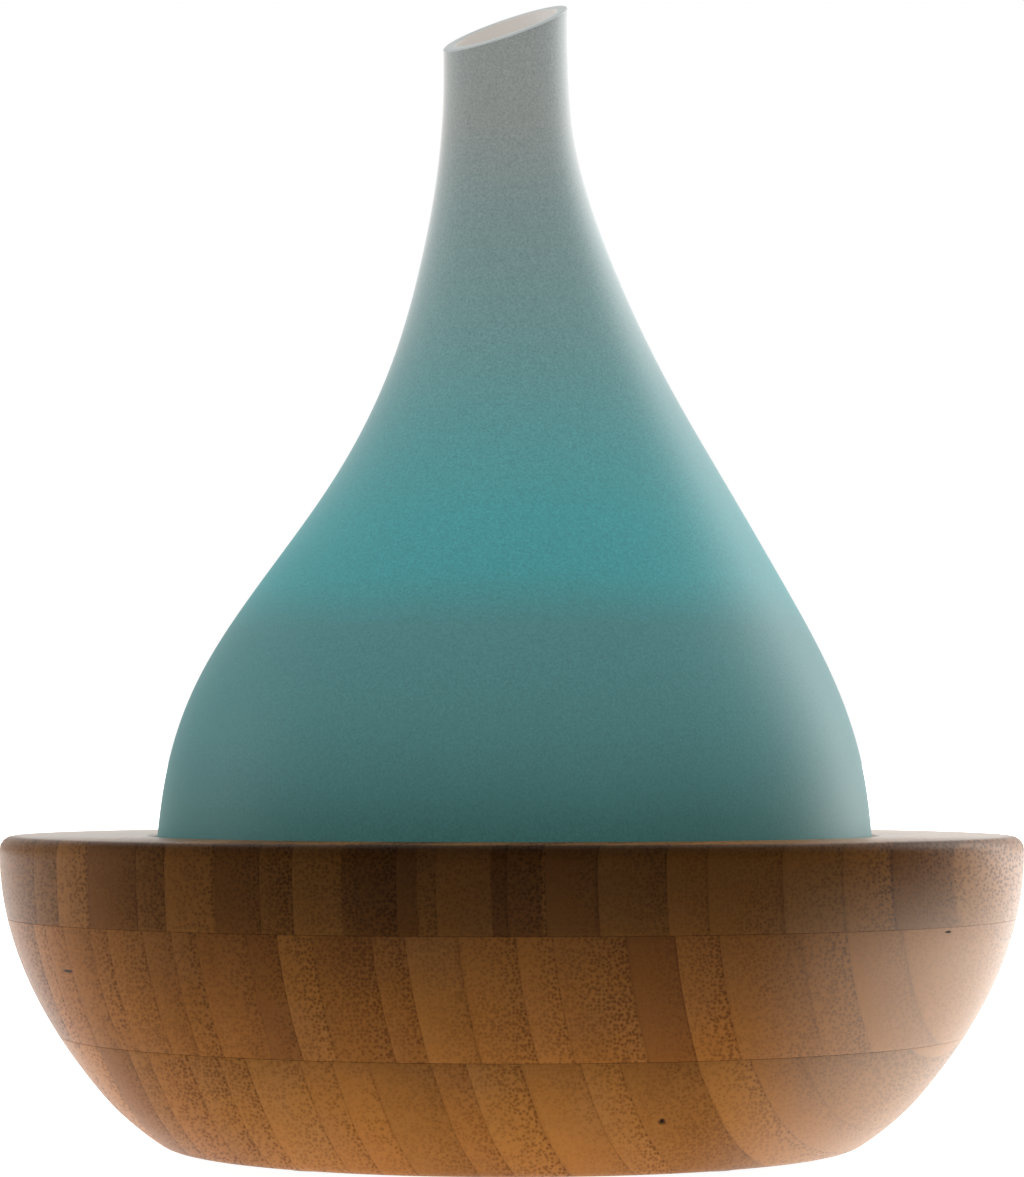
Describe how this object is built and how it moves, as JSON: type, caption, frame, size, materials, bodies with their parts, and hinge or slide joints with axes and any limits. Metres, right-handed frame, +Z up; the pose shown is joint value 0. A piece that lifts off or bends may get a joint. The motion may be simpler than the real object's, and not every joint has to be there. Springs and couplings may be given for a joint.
{
  "type": "ultrasonic cool mist humidifier",
  "caption": "Table-top cool mist humidifier: a round laminated bamboo bowl, a frosted glass cover drawn up into a slanted spout, and an ultrasonic mist maker, fan and lights inside.",
  "frame": {"origin": "on the table, under the middle of the bowl, at the underside of the feet", "axes": "+Z up; -Y is the plain front and +Y the back, with the buttons and the power socket"},
  "size_m": [0.17, 0.17, 0.1929],
  "materials": {
    "bamboo": "end-grain bamboo strips, carbonised and satin lacquered, darker towards the rim",
    "frosted_glass": "frosted outside, lit teal from within",
    "inner_cover_plastic": "milky translucent",
    "tank_plastic": "milky translucent",
    "clamp_plastic": "moulded white",
    "duct_plastic": "moulded white",
    "float_plastic": "moulded white",
    "transducer_ceramic": "metallised disc face",
    "silicone": "grey silicone",
    "foot_rubber": "black moulded",
    "base_plastic": "fine textured black",
    "bezel_plastic": "satin dark brown",
    "button_plastic": "satin pale grey",
    "socket_plastic": "black moulded",
    "fan_plastic": "moulded black",
    "steel": "plated",
    "bronze": "sintered",
    "copper": "enamelled winding",
    "circuit_board": "solder mask",
    "light_board": "white solder mask",
    "led_resin": "clear yellow resin in a white case",
    "sensor_glass": "dark glass tube",
    "capacitor_sleeve": "shrink sleeve",
    "ferrite": "ferrite",
    "heat_sink_aluminium": "extruded",
    "epoxy": "moulded epoxy",
    "lead_sheath": "soft insulation"
  },
  "bodies": {
    "base": {"air_duct": "duct_plastic", "bamboo_bottom_board": "bamboo", "bamboo_middle_board": "bamboo", "bamboo_top_board": "bamboo", "base_cover": "base_plastic", "base_screw_1": "steel", "base_screw_2": "steel", "base_screw_3": "steel", "base_screw_4": "steel", "capacitor": "capacitor_sleeve", "clamp_screw_1": "steel", "clamp_screw_2": "steel", "clamp_screw_3": "steel", "control_bezel": "bezel_plastic", "fan_bearing": "bronze", "fan_housing": "fan_plastic", "fan_lead": "lead_sheath", "fan_screw_1": "steel", "fan_screw_2": "steel", "fan_stator": "copper", "float_cap": "float_plastic", "foot_1": "foot_rubber", "foot_2": "foot_rubber", "foot_3": "foot_rubber", "foot_4": "foot_rubber", "heat_sink": "heat_sink_aluminium", "inductor": "ferrite", "led_1": "led_resin", "led_2": "led_resin", "led_3": "led_resin", "led_4": "led_resin", "led_5": "led_resin", "led_6": "led_resin", "led_board": "light_board", "level_sensor": "sensor_glass", "main_board": "circuit_board", "power_lead": "lead_sheath", "power_socket": "socket_plastic", "power_transistor": "epoxy", "switch_board": "circuit_board", "tact_switch_1": "epoxy", "tact_switch_2": "epoxy", "transducer_clamp": "clamp_plastic", "transducer_disc": "transducer_ceramic", "transducer_lead": "lead_sheath", "transducer_seal": "silicone", "water_tank": "tank_plastic"},
    "inner_cover": {"inner_cover": "inner_cover_plastic"},
    "glass_cover": {"glass_cover": "frosted_glass"},
    "fan_rotor": {"fan_impeller": "fan_plastic", "fan_shaft": "steel"},
    "level_float": {"water_level_float": "float_plastic"},
    "mist_button": {"mist_button": "button_plastic"},
    "light_button": {"light_button": "button_plastic"}
  },
  "joints": [
    {"name": "inner_cover_lift", "type": "slide", "parent": "base", "child": "inner_cover", "axis": [0, 0, 1], "range_m": [0, 0.04]},
    {"name": "glass_cover_lift", "type": "slide", "parent": "inner_cover", "child": "glass_cover", "axis": [0, 0, 1], "range_m": [0, 0.06]},
    {"name": "fan_spin", "type": "hinge", "parent": "base", "child": "fan_rotor", "pos_m": [0, 0.03112, 0.0085], "axis": [0, 0, 1], "continuous": true},
    {"name": "float_rise", "type": "slide", "parent": "base", "child": "level_float", "axis": [0, 0, 1], "range_m": [0, 0.01]},
    {"name": "mist_button_press", "type": "slide", "parent": "base", "child": "mist_button", "axis": [0, -1, 0], "range_m": [0, 0.0008], "stiffness_N_per_m": 1500},
    {"name": "light_button_press", "type": "slide", "parent": "base", "child": "light_button", "axis": [0, -1, 0], "range_m": [0, 0.0008], "stiffness_N_per_m": 1500}
  ]
}
